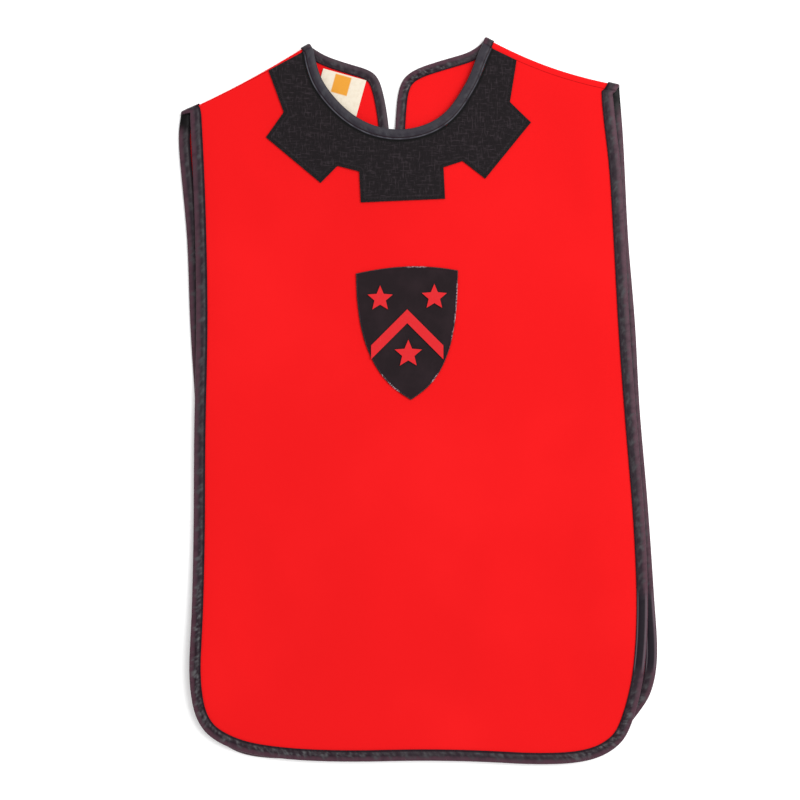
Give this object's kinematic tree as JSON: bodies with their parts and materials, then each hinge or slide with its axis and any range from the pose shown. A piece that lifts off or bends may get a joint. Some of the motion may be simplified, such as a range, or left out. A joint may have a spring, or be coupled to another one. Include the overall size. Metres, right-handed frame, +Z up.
{
  "type": "tabard",
  "caption": "Child's knight tabard laid flat: open-sided front and back joined at the shoulders, bound edges, dagged collar, shield patch.",
  "frame": {"origin": "under the middle of the whole garment, on the surface it lies on", "axes": "+X across the garment, towards the right of someone looking down at its front; +Y towards the neck; +Z up off the surface"},
  "size_m": [0.4506, 0.6836, 0.0099],
  "materials": {
    "red_cloth": "smooth matte plain weave, bright red",
    "black_binding": "satin bias binding, charcoal black with a faint purple tint and a soft sheen along its fold",
    "black_linen": "coarse plain weave, matte black with lighter flecks",
    "black_patch": "smooth black patch cloth, low sheen, stitched round the edge",
    "red_figure": "raised red figures, slightly darker than the panels",
    "cream_label": "woven cream label, bare of words"
  },
  "bodies": {
    "root": {"back_panel": "red_cloth", "back_edge_binding": "black_binding", "back_neck_binding_left": "black_binding", "back_neck_binding_right": "black_binding", "neck_label": "cream_label", "front_panel": "red_cloth", "front_edge_binding": "black_binding", "front_neck_binding": "black_binding", "collar": "black_linen", "shield_patch": "black_patch", "chevron": "red_figure", "star_left": "red_figure", "star_right": "red_figure", "star_base": "red_figure"}
  },
  "joints": []
}
